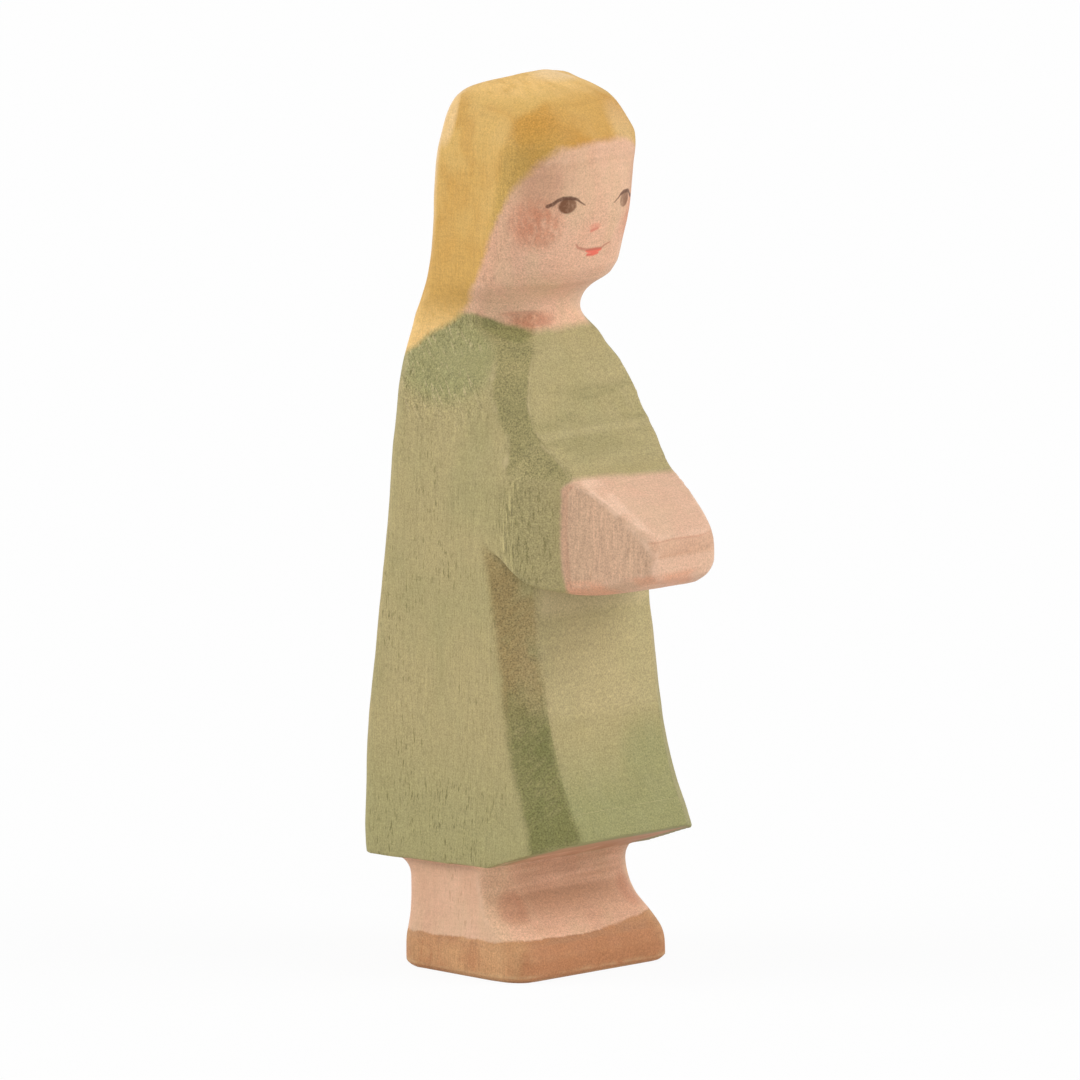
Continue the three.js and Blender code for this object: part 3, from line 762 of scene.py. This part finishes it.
def head_paint(paint):
    colour = skin_base(paint)
    brushed = paint.patches((1.6, 1.6, 0.8), 0.25, 0.65, 0.55, offset=(2, 4, 2))
    temple = paint.times(paint.spot((6.4, -1.9, 78.6), (2.4, 2.6, 3.2), 0.9, mirrored=True), 0.5)
    brow = paint.times(paint.band(paint.attribute("in_hair"), -1.5, -0.2, 0.6), 0.2)
    colour = paint.mix(paint.most(temple, brow), colour, SKIN_WARM)
    # Painted light below the jaw, which lifts the shade there.
    painted_light_under_jaw = paint.band(paint.height, 65.4, 67.2, 1.0)
    painted_light_under_jaw = paint.times(painted_light_under_jaw, paint.ramp(paint.ahead, -3, -6), 0.12)
    colour = paint.mix(painted_light_under_jaw, colour, SKIN_LIGHT)
    # A red mark and a red line, with painted shade, at the front of the neck under the chin.
    neck_mark_and_shade = paint.spot((-3.1, -5.8, 64.2), (2.4, 1.9, 0.8), 0.9)
    neck_line = paint.times(paint.spot((-3.6, -6.5, 64.8), (2.2, 2.0, 0.3), 0.9), 0.5)
    neck_mark_and_shade = paint.most(paint.times(neck_mark_and_shade, paint.add(0.25, brushed)), neck_line)
    colour = paint.mix(neck_mark_and_shade, colour, SKIN_RED)
    cheek = paint.spot((6.3, -2.0, 74.3), (2.3, 2.3, 2.4), 0.98, mirrored=True)
    colour = paint.mix(paint.times(cheek, paint.add(0.15, brushed)), colour, BLUSH)
    return skin_finish(paint, colour, paint.ramp(paint.height, 79, 75, 0.95, 1.3))


def hand_paint(paint):
    colour = paint.mix(0.5, skin_base(paint), SKIN_PALE)
    # Painted shade on the sides of the hands.
    shaded_sides = paint.ramp(paint.slant, 0.35, 0.8)
    colour = paint.mix(paint.times(shaded_sides, 0.62), colour, SKIN_SHADE)
    below_fold = paint.times(paint.band(paint.height, 43.1, 44.3, 0.5), paint.forward, 0.4)
    colour = paint.mix(below_fold, colour, SKIN_WARM)
    above_bottom = paint.add(paint.height, paint.times(paint.ahead, -0.16))
    lower_edge = paint.most(paint.ramp(above_bottom, 39.7, 39.0), paint.downward)
    lower_edge = paint.times(lower_edge, paint.patches((0.2, 0.2, 0.3), 0.35, 0.6, 0.6, offset=(1, 4, 1)))
    colour = paint.mix(lower_edge, colour, SALMON)
    shine = paint.times(paint.band(paint.u, -5.6, -4.3, 1.0), paint.rest(shaded_sides))
    shine = paint.times(shine, paint.band(paint.height, 45.5, 50.2, 0.8))
    shine = paint.times(shine, paint.patches((0.6, 0.6, 0.6), 0.3, 0.65, 0.45))
    colour = paint.mix(shine, colour, SKIN_LIGHT)
    at_cuff = paint.times(paint.band(paint.attribute("past_cuff"), -0.2, 0.2, 0.15), paint.sideways, 0.3)
    fold = paint.strokes(paint.front_place, HANDS_FOLD, 0.12)
    lower_fold = paint.stroke(paint.front_place, (-4.0, 43.0), (0.8, 43.2), (0.05, 0.02), 0.15)
    fold = paint.most(paint.times(fold, 0.5), paint.times(lower_fold, 0.25))
    fold = paint.times(fold, paint.ramp(paint.ahead, 10.6, 11.2))
    colour = paint.mix(paint.most(fold, at_cuff), colour, SKIN_RED)
    return skin_finish(paint, colour, paint.ramp(paint.sideways, 0, 1, 1.1, 1.35), 1.5)


def leg_paint(paint):
    # Painted shade on the sides of the legs.
    colour = paint.mix(paint.times(paint.sideways, 0.35), skin_base(paint), SKIN_SHADE)
    streaks = paint.patches((0.05, 0.15, 1.0), 0.3, 0.62, 0.75, offset=(2, 6, 4), detail=4)
    shade = paint.band(paint.height, 6.6, 7.8, 0.9)
    middle = paint.times(paint.forward, paint.ramp(paint.off_centre, 8, 4.5, 0.5, 1.0))
    colour = paint.mix(paint.times(middle, paint.most(streaks, paint.times(shade, 0.9))), colour, SKIN_WARM)
    colour = paint.mix(paint.times(paint.forward, shade, streaks, 0.4), colour, SKIN_DARK)
    # A red mark with painted shade on the front corners of the shins.
    shin_mark_and_shade = paint.times(paint.spot((7.9, -3.6, 6.8), (1.5, 1.6, 2.2), 0.8, mirrored=True), 0.55)
    coarse = paint.ramp(paint.sideways, 0, 1, 1.3, 0.6)
    return skin_finish(paint, paint.mix(shin_mark_and_shade, colour, SKIN_RED), coarse)


def face_features(paint, colour):
    eye_place = (paint.off_centre, paint.add(paint.height, paint.ramp(paint.u, 0, 1, 0.0, LEFT_EYE_LOWER)))
    front = paint.ramp(paint.ahead, -4.5, -3.5)
    dry_brush = paint.patches((3.5, 3.5, 2.5), 0.25, 0.6, 0.25)
    lid = paint.strokes(eye_place, EYELID)
    iris = paint.oval(eye_place, IRIS_CENTRE, IRIS_RADII, 0.3)
    dark_half = paint.ramp(paint.off_centre, 3.2, 4.4, 0.62, 0.86)
    faint = paint.ramp(paint.u, 0, 1, 1.0, 0.8)
    colour = paint.mix(paint.times(iris, front, faint, paint.add(dark_half, dry_brush)), colour, IRIS_BROWN)
    colour = paint.mix(paint.times(lid, front, paint.add(0.72, dry_brush)), colour, LID_BROWN)
    smile = paint.strokes(paint.front_place, SMILE)
    upper_lip = paint.strokes(paint.front_place, UPPER_LIP, 0.1)
    lower_lip = paint.strokes(paint.front_place, LOWER_LIP, 0.1)
    lip = paint.most(upper_lip, lower_lip)
    nose = paint.strokes(paint.front_place, NOSE, 0.16)
    nose_tip = paint.oval(paint.front_place, (-0.25, 73.8), (0.7, 0.35), 0.9)
    reds = paint.most(paint.times(lip, 0.92), paint.times(nose, 0.55), paint.times(nose_tip, 0.28))
    colour = paint.mix(paint.times(reds, front), colour, LIP_RED)
    under_lip = paint.stroke(paint.front_place, (-0.45, 70.86), (0.15, 70.86), (0.06, 0.04), 0.1)
    browns = paint.most(paint.times(smile, 0.66), paint.times(nose, 0.3), paint.times(under_lip, 0.5))
    return paint.mix(paint.times(browns, front), colour, SMILE_RED)


def hair_paint(paint):
    deep = paint.patches((0.16, 0.16, 0.12), 0.4, 0.66, 0.5, offset=(2, 2, 2))
    colour = paint.mix(deep, HAIR, HAIR_DEEP)
    low = paint.band(paint.height, 65, 71, 2.5)
    colour = paint.mix(paint.times(low, 0.35), colour, HAIR_DEEP)
    # Painted shade on the hair beside the face, on the near side.
    shaded_face_side = paint.rest(paint.most(paint.sideways, paint.upward))
    shaded_face_side = paint.times(shaded_face_side, paint.ramp(paint.ahead, -9, -7.5))
    shaded_face_side = paint.times(shaded_face_side, paint.ramp(paint.u, 1.5, 4.5, 1.0, 0.1))
    colour = paint.mix(paint.times(shaded_face_side, paint.add(0.6, deep)), colour, HAIR_DEEP)

    fringe = paint.times(paint.spot((1.8, -2.6, 85.2), (4.4, 2.8, 2.4), 0.9), 0.4)
    colour = paint.mix(fringe, colour, HAIR_DEEP)

    # Painted shadow on the carved corner beside the face, which starts at a point near the crown
    past_edge = paint.add(paint.ahead, paint.times(paint.height, -0.22), 22.7)
    below_point = paint.ramp(paint.add(paint.height, paint.times(paint.off_centre, 0.45)), 88.3, 87.5)
    corner = paint.times(paint.ramp(past_edge, -0.5, 0.6), below_point)
    corner = paint.times(corner, paint.ramp(paint.off_centre, 2.0, 4.8))
    shadow = paint.mix(paint.ramp(paint.height, 85.5, 80), HAIR_DEEP, HAIR_OLIVE)
    cloud = paint.waver((0.5, 0.5, 0.4), 0.6, detail=2, offset=(6, 1, 1))
    colour = paint.mix(paint.times(corner, paint.add(0.72, cloud)), colour, shadow)
    # A faint painted highlight on the side, just behind the ridge beside the face.
    ridge_highlight = paint.band(past_edge, -1.6, -0.8, 0.6)
    ridge_highlight = paint.times(ridge_highlight, paint.ramp(paint.height, 69, 72), paint.sideways)

    brushed = paint.patches((0.5, 0.5, 1.8), 0.35, 0.62, offset=(7, 7, 7), lean=-0.5)
    top = paint.times(paint.ramp(paint.height, 85.6, 87.3), paint.add(0.35, paint.times(brushed, 0.5)))
    # A painted highlight on the back edge of the hair.
    back_edge_highlight = paint.spot((7.8, -13.3, 85.2), (2.4, 1.7, 4.0), 0.4, mirrored=True)
    tail = paint.times(paint.ramp(paint.height, 67, 62), paint.add(0.9, paint.times(brushed, 0.4)))
    light = paint.most(paint.times(ridge_highlight, 0.1), top, paint.times(back_edge_highlight, 0.8), tail)
    colour = paint.mix(light, colour, HAIR_LIGHT)
    # A painted highlight on the crown's top edge; the back and the left brow are paler.
    crown = paint.spot((1.5, -6.2, 88.2), (3.4, 2.4, 0.8), 0.9)
    back = paint.times(paint.backward, paint.ramp(paint.height, 66, 82, 0.0, 0.9))
    left_brow = paint.spot((4.4, -1.2, 83.2), (2.0, 2.6, 2.6), 0.95)
    pale = paint.most(paint.times(crown, 0.45), paint.times(back, 0.6), paint.times(left_brow, 0.25))
    colour = paint.mix(paint.most(pale, paint.times(back_edge_highlight, 0.3)), colour, HAIR_PEACH)
    # How much the edges are lightened by thinned stain and a painted highlight: more towards the back.
    wear_and_highlight = paint.ramp(paint.ahead, -8, -11, 0.15, 0.6)
    coarse = paint.add(0.85, paint.times(corner, 0.5))
    return finished(paint, colour, HAIR_DEEP, 0.2, HAIR_LIGHT, wear_and_highlight, coarse)


def shoe_paint(paint):
    patchy = paint.patches((0.25, 0.25, 0.25), 0.4, 0.7, 0.5, offset=(7, 2, 5))
    deep = paint.most(paint.times(paint.forward, 0.7), patchy)
    colour = paint.mix(deep, SHOE, SHOE_DEEP)
    rim = paint.band(paint.attribute("over_shoe"), -0.5, 0.0, 0.3)
    colour = paint.mix(paint.times(rim, paint.patches((0.4, 0.4, 0.4), 0.35, 0.6, 0.4)), colour, SKIN_DARK)
    return finished(paint, colour, SHOE_DEEP, 0.4, BARE_WOOD, 0.4, 1.3)


def over_border(paint, label, depth=0.35, fade=0.12, past=0.0):
    """The share of paint past a border that wanders as a brush does and that the fade makes soft."""
    wander = paint.add(
        paint.waver((0.35, 0.35, 0.35), depth * 3, detail=2, offset=(9, 9, 9)),
        paint.waver((2.6, 2.6, 2.6), depth * 1.3, detail=2, offset=(4, 9, 2)),
    )
    reach = paint.add(paint.attribute(label), wander, past)
    return paint.ramp(paint.math("DIVIDE", reach, fade), -1, 1)


def hair_share(paint):
    return over_border(paint, "in_hair", depth=0.3, fade=0.5)


def above_collar(paint):
    fade = paint.ramp(paint.ahead, -6, -4, 0.3, 0.75)
    return over_border(paint, "over_collar", depth=0.2, fade=fade, past=-0.4)


def above_hem(paint):
    past = paint.ramp(paint.ahead, -1, 3, 0.05, 0.6)
    return over_border(paint, "over_hem", depth=0.1, past=past)


def over_cuff(paint):
    """The skin reaches further back on the right hand than on the left one, and it fades out on top."""
    past = paint.ramp(paint.u, -7, 6, 0.35, -0.75)
    fade = paint.ramp(paint.slant, 0.4, 0.8, 0.6, 0.2)
    return over_border(paint, "past_cuff", depth=0.2, fade=fade, past=past)


def skin_past_cuff(paint):
    """The share of skin on the sleeves, which leaves out the skirt below them."""
    return paint.times(over_cuff(paint), paint.ramp(paint.height, 34, 35))


def above_shoe(paint):
    """The brown reaches higher on the left toe than on the right one."""
    return over_border(paint, "over_shoe", depth=0.25, past=paint.ramp(paint.u, 1, 9, 0.0, -0.7))


def all_but(share):
    """The other side of a border."""
    return lambda paint: paint.rest(share(paint))


def painted(name, roughness, *layers, features=None):
    """A painted piece: its own paint, and what its neighbours' brushes have carried over the borders."""
    paint = Paint(name)
    colour = layers[0](paint)
    for share, layer in layers[1:]:
        colour = paint.mix(share(paint), colour, layer(paint))
    if features:
        colour = features(paint, colour)
    grit = paint.noise((3.5, 3.5, 3.0))
    fibres = paint.noise((2.6, 2.6, 0.2))
    height = paint.add(paint.times(grit, 0.5), paint.times(fibres, 0.5))
    rough = paint.ramp(paint.noise((0.6, 0.6, 0.3)), 0.3, 0.7, roughness - 0.06, roughness + 0.06)
    return paint.finish(colour, rough, height)


MATERIALS = {
    "hair": painted(
        "hair_stain", 0.66, head_paint,
        (all_but(above_collar), dress_paint), (hair_share, hair_paint),
    ),
    "head": painted(
        "skin_of_the_face", 0.62, head_paint,
        (all_but(above_collar), dress_paint), (hair_share, hair_paint), features=face_features,
    ),
    "dress": painted(
        "dress_stain", 0.72, dress_paint,
        (above_collar, head_paint), (hair_share, hair_paint), (skin_past_cuff, hand_paint),
        (all_but(above_hem), leg_paint),
    ),
    "hands": painted("skin_of_the_hands", 0.6, hand_paint, (all_but(over_cuff), dress_paint)),
    "legs": painted(
        "skin_of_the_legs", 0.64, leg_paint,
        (above_hem, dress_paint), (all_but(above_shoe), shoe_paint),
    ),
    "shoes": painted("shoe_stain", 0.68, shoe_paint, (above_shoe, leg_paint)),
}


def build_figure():
    figure, relief = carved_figure()
    points = points_of(figure.data)
    tree = KDTree(len(points))
    for index, point in enumerate(points):
        tree.insert(point, index)
    tree.balance()
    for name in REGIONS:
        piece = region_piece(name, figure, relief, tree)
        piece.data.materials.append(MATERIALS[name])
        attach(piece, "root")
        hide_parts(name)
    bpy.data.objects.remove(figure)


# Floor, light and camera

def direction(azimuth, elevation):
    """The unit vector from the object towards an azimuth, where 0 is straight in front of it."""
    turn, lift = math.radians(azimuth), math.radians(elevation)
    return Vector((math.sin(turn) * math.cos(lift), -math.cos(turn) * math.cos(lift), math.sin(lift)))


def white_for_camera(nodes, links, lit_shader, share):
    """Mixes in white for the rays that show the background, and leaves the light on the object as it is."""
    path = nodes.new("ShaderNodeLightPath")
    seen = path.outputs["Is Camera Ray"]
    for label in ("Is Glossy Ray", "Is Transmission Ray"):
        either = nodes.new("ShaderNodeMath")
        either.operation = "MAXIMUM"
        links.new(seen, either.inputs[0])
        links.new(path.outputs[label], either.inputs[1])
        seen = either.outputs[0]
    part = nodes.new("ShaderNodeMath")
    part.operation = "MULTIPLY"
    links.new(seen, part.inputs[0])
    part.inputs[1].default_value = share
    white = nodes.new("ShaderNodeEmission")
    white.inputs["Color"].default_value = (1, 1, 1, 1)
    mix = nodes.new("ShaderNodeMixShader")
    links.new(part.outputs[0], mix.inputs[0])
    links.new(lit_shader, mix.inputs[1])
    links.new(white.outputs[0], mix.inputs[2])
    return mix.outputs[0]


def build_floor():
    work = bmesh.new()
    bmesh.ops.create_circle(work, cap_ends=True, segments=96, radius=FLOOR_RADIUS)
    floor = object_from("floor", work)
    material = bpy.data.materials.new("pale_floor")
    material.use_nodes = True
    nodes, links = material.node_tree.nodes, material.node_tree.links
    shader = nodes["Principled BSDF"]
    shader.inputs["Base Color"].default_value = FLOOR_COLOUR
    shader.inputs["Roughness"].default_value = FLOOR_ROUGHNESS
    shader.inputs["Specular IOR Level"].default_value = 0.0
    output = nodes["Material Output"]
    links.new(white_for_camera(nodes, links, shader.outputs[0], FLOOR_WHITE), output.inputs["Surface"])
    floor.data.materials.append(material)


def build_world():
    world = bpy.data.worlds.new("studio")
    bpy.context.scene.world = world
    world.use_nodes = True
    nodes, links = world.node_tree.nodes, world.node_tree.links
    ambient = nodes["Background"]
    ambient.inputs["Color"].default_value = (1, 1, 1, 1)
    ambient.inputs["Strength"].default_value = AMBIENT
    output = nodes["World Output"]
    links.new(white_for_camera(nodes, links, ambient.outputs[0], 1.0), output.inputs["Surface"])


def soft_lamp(name, azimuth, elevation, strength, spread):
    lamp = bpy.data.lights.new(name, "SUN")
    lamp.energy = strength
    lamp.angle = math.radians(spread)
    towards = direction(azimuth, elevation)
    new_object(name, lamp).rotation_euler = towards.to_track_quat("Z", "Y").to_euler()


def build_camera():
    towards = direction(CAMERA_AZIMUTH, CAMERA_ELEVATION)
    right = Vector((0, 0, 1)).cross(towards).normalized()
    up = towards.cross(right)
    middle = PICTURE_PIXELS / 2
    aim = (right * (middle - ORIGIN_PIXEL[0]) + up * (ORIGIN_PIXEL[1] - middle)) / PIXELS_PER_MM
    data = bpy.data.cameras.new("camera")
    data.sensor_width = SENSOR
    data.lens = SENSOR * CAMERA_DISTANCE * PIXELS_PER_MM / PICTURE_PIXELS
    data.clip_end = CLIP_END
    camera = new_object("camera", data)
    stand = Matrix.Translation((aim + towards * CAMERA_DISTANCE) * MM)
    camera.matrix_world = stand @ Matrix((right, up, towards)).transposed().to_4x4()
    bpy.context.scene.camera = camera


bpy.context.scene.view_settings.view_transform = "Standard"
build_camera()
build_world()
for lamp_name, setting in LAMPS.items():
    soft_lamp(lamp_name, *setting)
build_floor()
build_figure()
